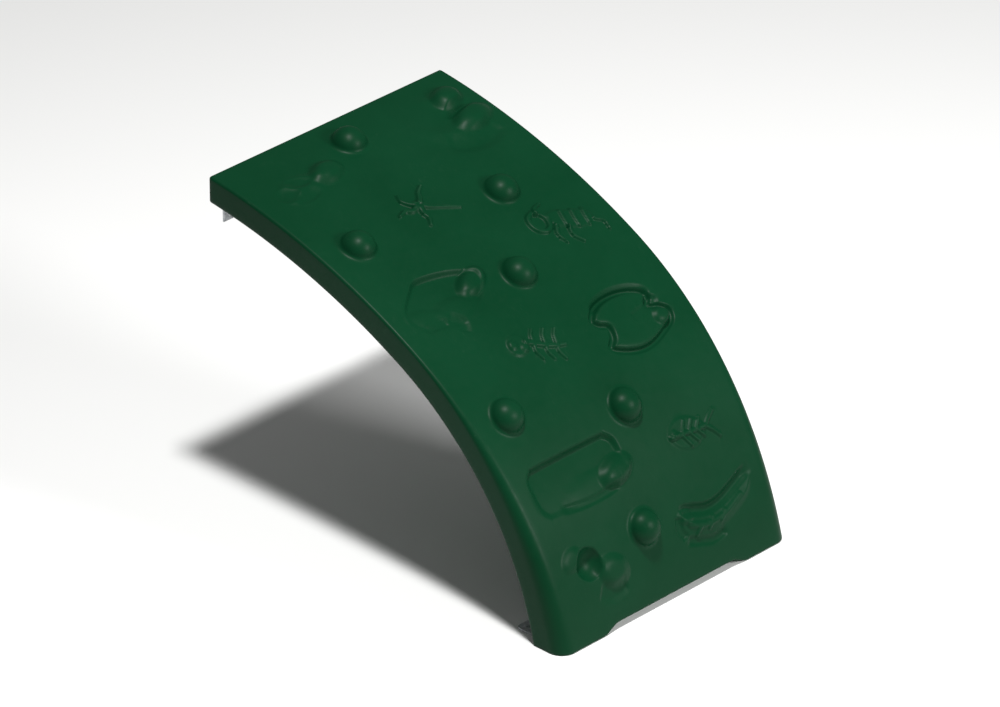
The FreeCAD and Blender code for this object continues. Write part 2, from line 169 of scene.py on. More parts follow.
# ---- lattice: coarse cells are split where the surface leaves them by more than FLATNESS ----
CELL = 11.0
FINE = 4
SIDE_CELLS = 5
CURVE_STEPS = 6
NOTCH_STEP = 2.0
PLAIN_END_ROWS = 4
FLATNESS = 0.24
TINY = 1e-9

# ---- stage, in metres and watts ----
FLOOR_HALF = 40.0
WORLD_LIGHT = 0.15
KEY_LIGHT = {"direction": (0.146, 0.12, -0.982), "distance": 7.0, "size": 0.7, "power": 580}
FRONT_LIGHT = {"direction": (-0.28, 0.86, -0.43), "distance": 8.0, "size": 2.0, "power": 440}
CAMERA_PLACE = (-13.048, -13.2325, 9.681)
LENS = 285.0


# ------------------------------------------------------------------ small maths

def smooth(t):
    t = np.clip(t, 0, 1)
    return t * t * (3 - 2 * t)


def curve(points, closed=False):
    """A smooth line through a few points."""
    p = np.array(points, float)
    if closed:
        ext = np.vstack([p[-1:], p, p[:2]])
    else:
        ext = np.vstack([2 * p[:1] - p[1:2], p, 2 * p[-1:] - p[-2:-1]])
    out = []
    for a, b, c, d in zip(ext[:-3], ext[1:-2], ext[2:-1], ext[3:]):
        for t in np.arange(CURVE_STEPS) / CURVE_STEPS:
            out.append(0.5 * (2 * b + (c - a) * t + (2 * a - 5 * b + 4 * c - d) * t ** 2
                              + (3 * b - a - 3 * c + d) * t ** 3))
    if not closed:
        out.append(p[-1])
    return np.array(out)


def from_line(line, x, s):
    """Distance of points from a line, and how far along it the nearest place is, 0 to 1."""
    best = np.full(x.shape, 1e9)
    where = np.zeros(x.shape)
    count = len(line) - 1
    for k in range(count):
        ax, ay = line[k]
        bx, by = line[k + 1] - line[k]
        t = np.clip(((x - ax) * bx + (s - ay) * by) / max(bx * bx + by * by, TINY), 0, 1)
        d = np.hypot(x - ax - t * bx, s - ay - t * by)
        near = d < best
        best = np.where(near, d, best)
        where = np.where(near, (k + t) / count, where)
    return best, where


def inside(line, x, s):
    """Signed distance into a closed outline: above zero inside."""
    ring = np.vstack([line, line[:1]])
    d, where = from_line(ring, x, s)
    odd = np.zeros(x.shape, bool)
    for (ax, ay), (bx, by) in zip(ring[:-1], ring[1:]):
        if ay != by:
            crosses = (ay > s) != (by > s)
            odd ^= crosses & (x < ax + (s - ay) * (bx - ax) / (by - ay))
    return np.where(odd, d, -d)


# ------------------------------------------------------------------ relief on the face
# Each feature takes (x, s, h) for the points near it and returns the new height.

def bump(cx, cs, rx, rs, height, turn=0.0):
    """A smooth oval mound, or a hollow where its height is below zero."""
    a = math.radians(turn)

    def shape(x, s, h):
        u = ((x - cx) * math.cos(a) + (s - cs) * math.sin(a)) / rx
        v = (-(x - cx) * math.sin(a) + (s - cs) * math.cos(a)) / rs
        q = np.clip(1 - u * u - v * v, 0, 1)
        return h + height * smooth(q)
    r = max(rx, rs)
    return (cx - r, cx + r, cs - r, cs + r, shape)


def ridges(lines, height):
    """Tapered ridges that merge where they meet. Each line is (points, start radius, end radius)."""
    made = [(curve(points), r0, r1) for points, r0, r1 in lines]
    every = np.vstack([line for line, r0, r1 in made])
    reach = max(max(r0, r1) for line, r0, r1 in made) + 2

    def shape(x, s, h):
        top = np.zeros(x.shape)
        for line, r0, r1 in made:
            d, where = from_line(line, x, s)
            radius = r0 + (r1 - r0) * where
            part = smooth((1 - d / radius) / RIDGE_EDGE) * np.sqrt(radius / max(r0, r1))
            top = np.maximum(top, part)
        return h + height * top
    lo, hi = every.min(0) - reach, every.max(0) + reach
    return (lo[0], hi[0], lo[1], hi[1], shape)


def groove(points, width, depth, closed=False):
    line = curve(points, closed)
    if closed:
        line = np.vstack([line, line[:1]])

    def shape(x, s, h):
        d, where = from_line(line, x, s)
        ends = 1.0 if closed else smooth(where / GROOVE_ENDS) * smooth((1 - where) / GROOVE_ENDS)
        return h - depth * ends * smooth((1 - d / width) / GROOVE_EDGE)
    lo, hi = line.min(0) - width, line.max(0) + width
    return (lo[0], hi[0], lo[1], hi[1], shape)


def plateau(points, height, edge):
    """The inside of a smooth outline, raised or sunk."""
    line = curve(points, True)

    def shape(x, s, h):
        return h + height * smooth(inside(line, x, s) / edge)
    lo, hi = line.min(0) - 1, line.max(0) + 1
    return (lo[0], hi[0], lo[1], hi[1], shape)


def ledge(points, depth, wall, left_over=0.0, tilt=0.0):
    """A finger ledge: deepest under its upper edge, with a floor that rises to the face below."""
    line = curve(points, True)
    top, end = line[:, 1].min(), line[:, 1].max()
    middle = line[:, 0].mean()

    def shape(x, s, h):
        d = inside(line, x, s)
        down = np.clip((s - top + tilt * (x - middle)) / (end - top), 0, 1)
        fall = left_over + (depth - left_over) * (1 - down) ** LEDGE_FALL
        return h - fall * smooth(d / wall)
    lo, hi = line.min(0) - 1, line.max(0) + 1
    return (lo[0], hi[0], lo[1], hi[1], shape)


def rounded_box(cx, cs, half_x, half_s, corner):
    out = []
    for sx, ss, start in ((1, 1, 0), (-1, 1, 90), (-1, -1, 180), (1, -1, 270)):
        for turn in (0, 30, 60, 90):
            a = math.radians(start + turn)
            x = cx + sx * (half_x - corner) + corner * math.cos(a)
            out.append((x, cs + ss * (half_s - corner) + corner * math.sin(a)))
    return out


def starfish():
    cx, cs = -54, 410
    arms = [
        [(cx, cs), (-72, 392), (-84, 372), (-78, 352)],
        [(cx, cs), (-34, 392), (-18, 370), (6, 354)],
        [(cx, cs), (-26, 428), (6, 446), (44, 468)],
        [(cx, cs), (-62, 436), (-62, 458), (-76, 480)],
        [(cx, cs), (-84, 416), (-104, 408), (-128, 414)],
    ]
    parts = [ridges([(arm, 13, 6) for arm in arms], 9.0)]
    parts.append(bump(cx, cs, 26, 24, 3.0))
    parts.append(bump(cx, cs, 10, 10, -4.0))
    return parts


def sea_scorpion():
    """Ringed head, ribbed body and a long tail."""
    turns = np.radians(range(0, 360, 45))
    head = [(198 + 28 * math.cos(a), 616 + 33 * math.sin(a)) for a in turns]
    parts = [ridges([(head + head[:2], 10, 10)], 8.0)]
    body = [
        (226, 602), (262, 594), (306, 612), (350, 634), (362, 662), (340, 688),
        (296, 688), (256, 668), (228, 644),
    ]
    parts.append(plateau(body, 4.5, 14))
    ribs = []
    for k in range(3):
        x, s = 268 + 32 * k, 612 + 10 * k
        ribs.append(([(x + 10, s), (x, s + 28), (x - 6, s + 54)], 8.5, 6.5))
    parts.append(ridges(ribs, 5.5))
    parts.append(ridges([
        ([(234, 646), (218, 672), (224, 704)], 9, 6),
        ([(264, 668), (256, 694), (270, 722)], 8.5, 6),
        ([(206, 590), (220, 572), (246, 566)], 8.5, 6),
        ([(352, 676), (372, 694), (368, 722)], 9, 6),
    ], 7.5))
    return parts


def trilobite():
    """Small fossil: a two-lobed head, a middle ridge and legs."""
    head = [(-178, 898), (-164, 870), (-132, 864), (-108, 884), (-114, 920), (-144, 938), (-174, 926)]
    parts = [plateau(head, 4.0, 12)]
    parts.append(bump(-158, 896, 18, 18, 5.0))
    parts.append(bump(-128, 916, 17, 17, 4.5))
    lines = [([(-116, 902), (-86, 922), (-50, 942), (-10, 954)], 11, 7)]
    for k in range(3):
        x, s = -96 + 32 * k, 916 + 13 * k
        lines.append(([(x, s), (x + 8, s - 22), (x + 22, s - 38)], 8, 5.5))
        lines.append(([(x, s), (x - 8, s + 24), (x - 2, s + 48)], 8, 5.5))
    parts.append(ridges(lines, 6.5))
    return parts


def fossil_fish():
    body = [
        (132, 1296), (158, 1264), (200, 1256), (244, 1276),
        (268, 1308), (240, 1342), (200, 1354), (154, 1336),
    ]
    parts = [plateau(body, 3.0, 10)]
    lines = [([(140, 1300), (190, 1304), (230, 1308), (270, 1310)], 9, 7)]
    for k in range(3):
        x = 178 + 27 * k
        lines.append(([(x, 1304), (x + 10, 1288 + 2 * k), (x + 22, 1272 + 5 * k)], 7, 5.5))
        lines.append(([(x, 1306), (x + 8, 1322 - k), (x + 18, 1340 - 4 * k)], 7, 5.5))
    lines.append(([(266, 1310), (288, 1292), (310, 1280)], 9, 6.5))
    lines.append(([(266, 1310), (286, 1330), (300, 1350)], 9, 6.5))
    parts.append(ridges(lines, 6.0))
    parts.append(bump(156, 1294, 13, 13, 4.0))
    return parts


def leaf_mark():
    outline = [
        (112, 930), (150, 900), (205, 890), (262, 896), (308, 916), (318, 940), (300, 960),
        (326, 972), (350, 994), (338, 1022), (300, 1040), (250, 1056), (198, 1058), (146, 1042),
        (116, 1020), (138, 996), (144, 966), (122, 952),
    ]
    parts = [plateau(outline, 4.0, 22), groove(outline, 12, 10.0, True)]
    parts.append(groove([(126, 912), (160, 894), (205, 886), (262, 892), (308, 912), (322, 940)], 20, 7.0))
    parts.append(bump(314, 952, 30, 24, -9.0))
    parts.append(bump(316, 1000, 34, 30, 10.0))
    parts.append(groove([(298, 962), (262, 966), (226, 974)], 16, 3.0))
    return parts


def long_ledge():
    outline = rounded_box(-192, 1274, 168, 76, 48)
    parts = [ledge(outline, 18.0, 20, 2.0, 0.10)]
    parts.append(bump(-72, 1306, 70, 44, 19.0, -14))
    parts.append(bump(-160, 1312, 120, 40, 3.0, -4))
    parts.append(groove([(-290, 1336), (-220, 1346), (-140, 1348), (-76, 1342)], 16, 4.0))
    return parts


def rock_ledge():
    outline = [
        (-376, 716), (-358, 670), (-304, 626), (-262, 602), (-190, 608), (-124, 628), (-82, 656),
        (-88, 702), (-130, 744), (-182, 778), (-240, 792), (-300, 778), (-352, 758),
    ]
    parts = [ledge(outline, 18.0, 18, 2.0)]
    parts.append(bump(-118, 682, 68, 40, 20.0, -25))
    parts.append(bump(-212, 736, 84, 50, 9.0, 8))
    parts.append(bump(-318, 722, 70, 40, 6.0, 20))
    parts.append(groove([(-252, 806), (-236, 776), (-262, 742)], 22, 4.0))
    parts.append(groove([(-350, 764), (-312, 748), (-270, 756)], 20, 3.0))
    return parts


def fern_leaf():
    upper = [(74, 1482), (120, 1492), (176, 1508), (230, 1504), (290, 1484), (360, 1456)]
    body = [
        (76, 1500), (116, 1508), (176, 1528), (236, 1522), (300, 1500), (352, 1478), (332, 1526),
        (262, 1562), (190, 1576), (110, 1560),
    ]
    parts = [groove(upper, 22, 11.0), groove([(72, 1492), (64, 1526), (80, 1560)], 18, 5.0)]
    parts.append(groove([(76, 1562), (120, 1578), (170, 1592), (226, 1584)], 18, 6.0))
    parts.append(plateau(body, 5.0, 26))
    ribs = [([(100, 1526), (160, 1544), (226, 1540), (296, 1514)], 11, 8)]
    for k in range(3):
        x = 138 + 46 * k
        ribs.append(([(x, 1538 - 2 * k), (x - 14, 1552 - 3 * k), (x - 22, 1564 - 5 * k)], 9, 7))
    parts.append(ridges(ribs, 3.5))
    parts.append(bump(96, 1500, 34, 26, 6.0))
    return parts


def top_left_rock():
    body = [
        (-356, 190), (-328, 148), (-270, 130), (-206, 144),
        (-186, 186), (-222, 232), (-296, 254), (-346, 234),
    ]
    parts = [plateau(body, 6.0, 34)]
    parts.append(bump(-166, 176, 66, 48, 20.0, -14))
    parts.append(bump(-322, 192, 40, 34, -7.0))
    parts.append(bump(-266, 166, 44, 26, -6.0, 15))
    parts.append(bump(-276, 222, 54, 24, -6.0, -10))
    return parts


def top_right_rock():
    body = [
        (140, 190), (170, 110), (250, 70), (340, 66), (396, 110),
        (400, 210), (370, 290), (280, 316), (190, 280),
    ]
    parts = [plateau(body, 7.0, 60)]
    parts.append(bump(338, 118, 64, 50, 21.0, -34))
    parts.append(bump(338, 220, 86, 50, 21.0, -14))
    parts.append(bump(330, 170, 70, 28, -8.0, -12))
    parts.append(bump(236, 160, 84, 80, -6.0, -20))
    parts.append(groove([(196, 262), (250, 292), (310, 298), (380, 272)], 44, 6.0))
    return parts


def toe_hold():
    parts = [bump(-192, 1538, 62, 50, 13.0, 30)]
    parts.append(groove([(-256, 1572), (-212, 1594), (-156, 1582)], 34, 4.0))
    parts.append(bump(-318, 1462, 44, 34, 6.0, -30))
    return parts


def face_features():
    parts = []
    for group in (starfish, sea_scorpion, trilobite, fossil_fish, leaf_mark, long_ledge, rock_ledge,
                  fern_leaf, top_left_rock, top_right_rock, toe_hold):
        parts += group()
    return parts


def relief(x, s):
    h = np.zeros(x.shape)
    for x0, x1, s0, s1, shape in face_features():
        near = (x > x0) & (x < x1) & (s > s0) & (s < s1)
        if near.any():
            h[near] = shape(x[near], s[near], h[near])
    return h


# ------------------------------------------------------------------ round holds and wells

def soft_profile(points, cut):
    """A turned profile from straight runs with its corners rounded, as (radius, height) by length."""
    p = np.array(points, float)
    for k in range(3):
        out = [p[0]]
        for a, b in zip(p[:-1], p[1:]):
            length = np.hypot(*(b - a))
            step = min(0.25, cut / max(length, TINY))
            out += [a + (b - a) * step, b - (b - a) * step]
        out.append(p[-1])
        p = np.array(out)
        cut = cut * 0.5
    along = np.concatenate([[0], np.cumsum(np.hypot(*np.diff(p, axis=0).T))])
    return p[:, 0], p[:, 1], along


def ball_profile(base, height, fillet, reach):
    """A round cap with a filleted foot that runs out flat to its reach."""
    radius = (base ** 2 + height ** 2) / (2 * height)
    out = math.sqrt((radius + fillet) ** 2 - (fillet + radius - height) ** 2)
    turn = math.asin(out / (radius + fillet))
    a = np.linspace(0, turn, CAP_POINTS)
    r = list(radius * np.sin(a))
    z = list(height - radius + radius * np.cos(a))
    a = np.linspace(turn, 0, FILLET_POINTS)[1:]
    r += list(out - fillet * np.sin(a))
    z += list(fillet - fillet * np.cos(a))
    r.append(reach)
    z.append(0.0)
    r, z = np.array(r), np.array(z)
    along = np.concatenate([[0], np.cumsum(np.hypot(np.diff(r), np.diff(z)))])
    return r, z, along


def turned(u, v, profile, reach):
    """Moves lattice points near (0, 0) onto a turned profile: new u, v, and the height."""
    r, z, along = profile
    rho = np.hypot(u, v)
    near = rho < reach
    length = np.where(near, rho, 0) * along[-1] / reach
    new = np.interp(length, along, r)
    scale = np.where(near & (rho > 1e-6), new / np.maximum(rho, 1e-6), 1.0)
    return u * scale, v * scale, np.where(near, np.interp(length, along, z), 0.0), near


# ------------------------------------------------------------------ section

def section(run):
    """Face slope at a distance down the face, and the back wall's slope at the same station."""
    slope = np.where(run < UPPER_RUN, TOP_SLOPE + run / UPPER_R,
                     KNEE_SLOPE + (run - UPPER_RUN) / LOWER_R)
    upper = (BACK_FIRST_SLOPE + (slope - FIRST_SLOPE) * (KNEE_SLOPE - BACK_FIRST_SLOPE)
             / (KNEE_SLOPE - FIRST_SLOPE))
    lower = (KNEE_SLOPE + (slope - KNEE_SLOPE) * (BACK_FOOT_SLOPE - KNEE_SLOPE)
             / (FOOT_SLOPE - KNEE_SLOPE))
    return slope, np.where(slope < KNEE_SLOPE, upper, lower)


def arc_point(slope, upper_c, upper_r, lower_c, lower_r):
    upper = slope < KNEE_SLOPE
    r = np.where(upper, upper_r, lower_r)
    y = np.where(upper, upper_c[0], lower_c[0]) - r * np.sin(slope)
    z = np.where(upper, upper_c[1], lower_c[1]) + r * np.cos(slope)
    return y, z


def face_point(slope):
    return arc_point(slope, UPPER_C, UPPER_R, LOWER_C, LOWER_R)


def back_point(slope):
    return arc_point(slope, UPPER_C, BACK_UPPER_R, BACK_LOWER_C, BACK_LOWER_R)


def run_of(slope):
    return np.where(slope < KNEE_SLOPE, (slope - TOP_SLOPE) * UPPER_R,
                    UPPER_RUN + (slope - KNEE_SLOPE) * LOWER_R)


def edge_radius(run):
    q = (run - UPPER_RUN) / (FULL_RUN - UPPER_RUN)
    return EDGE_R_TOP + (EDGE_R_FOOT - EDGE_R_TOP) * smooth(q)


def arch_lift(x):
    """Height of the lower edge above the ground."""
    return ARCH_RISE * np.clip((ARCH_HALF - np.abs(x)) / ARCH_SLOPE, 0, 1)


# ---- stations down the face, and how far each is drawn in for the rounded ends ----

def stations():
    """Rows down the face as (run, inset, may be split)."""
    turns = np.radians([0, 30, 60])
    rows = [(FIRST_RUN + LIP_R * (1 - math.cos(t)), LIP_R * (1 - math.sin(t)), False)
            for t in turns]
    notch_slope = []
    for y in (NOTCH_Y, NOTCH_Y - NOTCH_STEP):
        back = math.asin((UPPER_C[0] - y) / BACK_UPPER_R)
        share = (back - BACK_FIRST_SLOPE) / (KNEE_SLOPE - BACK_FIRST_SLOPE)
        notch_slope.append(FIRST_SLOPE + share * (KNEE_SLOPE - FIRST_SLOPE))
    notch_runs = [float(run_of(np.array(slope))) for slope in notch_slope]
    first = FIRST_RUN + LIP_R
    last = FULL_RUN - BASE_R
    main = list(np.linspace(first, last, int((last - first) / CELL) + 1))
    nearest = [min(range(len(main)), key=lambda k: abs(main[k] - run)) for run in notch_runs]
    if nearest[0] == nearest[1]:
        nearest[1] += 1
    for k, run in zip(nearest, notch_runs):
        main[k] = run
    rows += [(run, 0.0, True) for run in main]
    turns = np.radians([60, 30, 0])
    rows += [(FULL_RUN - BASE_R * (1 - math.cos(t)), BASE_R * (1 - math.sin(t)), False)
             for t in turns]
    return rows


# ---- columns round the section: (kind, place along the kind) ----
FACE, RIGHT_FRONT, RIGHT, RIGHT_BACK, BACK, LEFT_BACK, LEFT, LEFT_FRONT = range(8)


def columns():
    """Coarse column borders round the section as (kind, start, end, smallest split)."""
    cells = []
    count = 2 * round((HALF - EDGE_R_TOP) / CELL)
    cells += [(FACE, k / count * 2 - 1, (k + 1) / count * 2 - 1, 1) for k in range(count)]
    cells += [(RIGHT_FRONT, 0, 0.5, FINE), (RIGHT_FRONT, 0.5, 1, FINE)]
    cells += [(RIGHT, k / SIDE_CELLS, (k + 1) / SIDE_CELLS, 1) for k in range(SIDE_CELLS)]
    cells += [(RIGHT_BACK, 0, 1, FINE)]
    flat = HALF - BACK_EDGE_R
    inner = np.linspace(NOTCH_HALF, -NOTCH_HALF, 2 * round(NOTCH_HALF / CELL / 2) + 1)
    outer = NOTCH_HALF + NOTCH_STEP
    rim = [flat, (flat + outer) / 2, outer]
    xs = rim + list(inner) + [-x for x in reversed(rim)]
    cells += [(BACK, a, b, 1) for a, b in zip(xs[:-1], xs[1:])]
    cells += [(LEFT_BACK, 0, 1, FINE)]
    cells += [(LEFT, k / SIDE_CELLS, (k + 1) / SIDE_CELLS, 1) for k in range(SIDE_CELLS)]
    cells += [(LEFT_FRONT, 0, 0.5, FINE), (LEFT_FRONT, 0.5, 1, FINE)]
    return cells


def skin_points(kind, place, run, inset):
    """Points of the outer skin, in millimetres, and the slope along which each may slide."""
    corner = edge_radius(run)
    flat_x = HALF - corner
    right = np.isin(kind, (RIGHT_FRONT, RIGHT, RIGHT_BACK))
    side = np.where(right, 1.0, -1.0)
    x = np.zeros(run.shape)
    on_face = kind == FACE
    x = np.where(on_face, place * flat_x, x)
    on_back = kind == BACK
    x = np.where(on_back, place, x)
    at_side = ~(on_face | on_back)
    x = np.where(at_side, side * HALF, x)

    # the lower edge lifts off the ground between the feet
    lift = arch_lift(x)
    start = UPPER_RUN + LIFT_START * (FULL_RUN - UPPER_RUN)
    foot_slope = np.arccos((GROUND + lift - LOWER_C[1]) / LOWER_R)
    end = UPPER_RUN + (foot_slope - KNEE_SLOPE) * LOWER_R
    drawn = start + (run - start) * (end - start) / (FULL_RUN - start)
    face_run = np.where(run > start, drawn, run)
    slope = section(face_run)[0]
    back_foot = np.arccos((GROUND + lift - BACK_LOWER_C[1]) / BACK_LOWER_R)
    back_in = section(run)[1]
    share = np.clip((run - start) / (FULL_RUN - start), 0, 1)
    back_slope = back_in - share * (BACK_FOOT_SLOPE - back_foot)

    # holds: lattice points slide sideways so that steep sides stay evenly covered
    u, s = x.copy(), face_run.copy()
    knob = ball_profile(KNOB_R, KNOB_H, KNOB_FILLET, KNOB_REACH)
    pocket = ball_profile(POCKET_R, POCKET_D, POCKET_FILLET, POCKET_REACH)
    grown = np.zeros(run.shape)
    round_holds = ((KNOBS, knob, KNOB_REACH, 1), ([POCKET], pocket, POCKET_REACH, -1))
    for places, profile, reach, sign in round_holds:
        for cx, cs in places:
            du, dv, dz, near = turned(u - cx, s - cs, profile, reach)
            near &= on_face
            u = np.where(near, cx + du, u)
            s = np.where(near, cs + dv, s)
            grown = np.where(near, grown + sign * dz, grown)
    height = np.where(on_face, relief(u, s), 0.0)
    fade = smooth((flat_x - np.abs(u)) / FADE_SIDE) * smooth((end - s) / FADE_FOOT)
    fade = fade * smooth((s - FIRST_RUN) / FADE_TOP)
    height = height * fade + grown
    slope = np.where(on_face, section(s)[0], slope)

    fy, fz = face_point(slope)
    ny, nz = -np.sin(slope), np.cos(slope)
    by, bz = back_point(back_slope)
    my, mz = np.sin(back_slope), -np.cos(back_slope)

    px, py, pz = x.copy(), fy.copy(), fz.copy()
    # face
    out = height - inset
    px = np.where(on_face, u, px)
    py = np.where(on_face, fy + ny * out, py)
    pz = np.where(on_face, fz + nz * out, pz)
    # front corners: place 0 is at the face on the right, and at the side on the left
    front = np.isin(kind, (RIGHT_FRONT, LEFT_FRONT))
    turn = np.where(kind == RIGHT_FRONT, place, 1 - place) * math.pi / 2
    reach = np.maximum(corner - inset, LEAST_CORNER)
    deep = corner - reach * np.cos(turn)
    px = np.where(front, side * (HALF - corner + reach * np.sin(turn)), px)
    py = np.where(front, fy - ny * deep, py)
    pz = np.where(front, fz - nz * deep, pz)
    # sides
    at = np.where(kind == RIGHT, place, 1 - place)
    flank = np.isin(kind, (RIGHT, LEFT))
    ay, az = fy - ny * corner, fz - nz * corner
    cy, cz = by - my * BACK_EDGE_R, bz - mz * BACK_EDGE_R
    px = np.where(flank, side * (HALF - inset), px)
    py = np.where(flank, ay + (cy - ay) * at, py)
    pz = np.where(flank, az + (cz - az) * at, pz)
    # back corners
    rear = np.isin(kind, (RIGHT_BACK, LEFT_BACK))
    rounded = np.where(kind == RIGHT_BACK, place, 1 - place)
    turn = rounded * math.pi / 2
    small = BACK_INSET * inset
    reach = BACK_EDGE_R - small
    deep = BACK_EDGE_R - reach * np.sin(turn)
    wide = BACK_EDGE_R - inset * (1 - rounded)
    px = np.where(rear, side * (HALF - BACK_EDGE_R + wide * np.cos(turn)), px)
    py = np.where(rear, by - my * deep, py)
    pz = np.where(rear, bz - mz * deep, pz)
    # back wall, with the level landing for the deck angle
    py = np.where(on_back, by - my * small, py)
    pz = np.where(on_back, bz - mz * small, pz)
    in_notch = on_back & (np.abs(x) < NOTCH_HALF + NOTCH_SLACK) & (py > NOTCH_Y - NOTCH_SLACK)
    pz = np.where(in_notch, LANDING_Z + small, pz)

    # the surface's own slope, which slide_to_ends follows
    between = (slope + back_slope) / 2
    local = np.where(on_face | front, slope, np.where(on_back | rear, back_slope, between))
    return px, py, pz, local


def slide_to_ends(px, py, pz, local, run, first, last, kind):
    """Slides the rows near each end along the surface until the end row is in its plane."""
    near = smooth(1 - (run - FIRST_RUN) / TOP_SLIDE)
    step = (REAR_Y - first) / np.cos(local) * near
    py = py + step * np.cos(local)
    landing = (kind == BACK) & (np.abs(px) < NOTCH_HALF + NOTCH_SLACK)
    pz = pz + np.where(landing, 0, step * np.sin(local))
    near = smooth(1 - (FULL_RUN - run) / FOOT_SLIDE)
    step = (GROUND + arch_lift(px) - last) / np.sin(local) * near
    py = py + step * np.cos(local)
    pz = pz + step * np.sin(local)
    return px, py, pz


def well_depths(px, py, pz, on_back):
    """Sinks the wells into the back wall, each a cone along the face's own normal."""
    for run, across in WELLS:
        slope = float(section(np.array(float(run)))[0])
        fy, fz = (float(v) for v in face_point(np.array(slope)))
        ny, nz = -math.sin(slope), math.cos(slope)
        ty, tz = math.cos(slope), math.sin(slope)
        depth_here = (py - fy) * ny + (pz - fz) * nz
        up_here = (py - fy) * ty + (pz - fz) * tz
        for cx in across:
            rough = np.hypot(px - cx, up_here)
            close = on_back & (rough < WELL_SEARCH) & (depth_here < 0)
            if not close.any():
                continue
            depth = -float(depth_here[close].mean()) - WELL_STOP
            mouth = WELL_FLOOR_R + WELL_TAPER * depth
            reach = mouth + WELL_REACH
            wall = [
                (0, depth), (WELL_FLOOR_R - WELL_FLOOR_EDGE, depth),
                (WELL_FLOOR_R, depth - WELL_FLOOR_EDGE), (mouth, 0),
                (mouth + WELL_LIP, 0), (reach, 0),
            ]
            profile = soft_profile(wall, WELL_SOFT)
            du, dv, dz, near = turned(px - cx, up_here, profile, reach)
            near &= on_back & (depth_here < 0) & (depth_here > -WELL_DEEPEST)
            slid = dv - up_here
            py = np.where(near, py + ty * slid + ny * dz, py)
            pz = np.where(near, pz + tz * slid + nz * dz, pz)
            px = np.where(near, cx + du, px)
    return px, py, pz


def bracket_seats(px, py, pz, on_back):
    """Flattens the back wall behind each foot, where the ground brackets lie."""
    slope = math.acos((GROUND + SEAT_TANGENT - BACK_LOWER_C[1]) / BACK_LOWER_R)
    by, bz = (float(v) for v in back_point(np.array(slope)))
    through = (pz - bz) * math.cos(slope) - (py - by) * math.sin(slope)
    up = (py - by) * math.cos(slope) + (pz - bz) * math.sin(slope)
    from_middle = np.abs(np.abs(px) - SEAT_MIDDLE)
    share = smooth((SEAT_HALF + SEAT_EDGE - from_middle) / SEAT_EDGE)
    share = share * smooth((SEAT_TOP + SEAT_EDGE - up) / SEAT_EDGE)
    gap = np.where(on_back, np.maximum(SEAT_DEPTH - through, 0) * share, 0)
    return py - gap / math.sin(slope)


# ------------------------------------------------------------------ the body's mesh

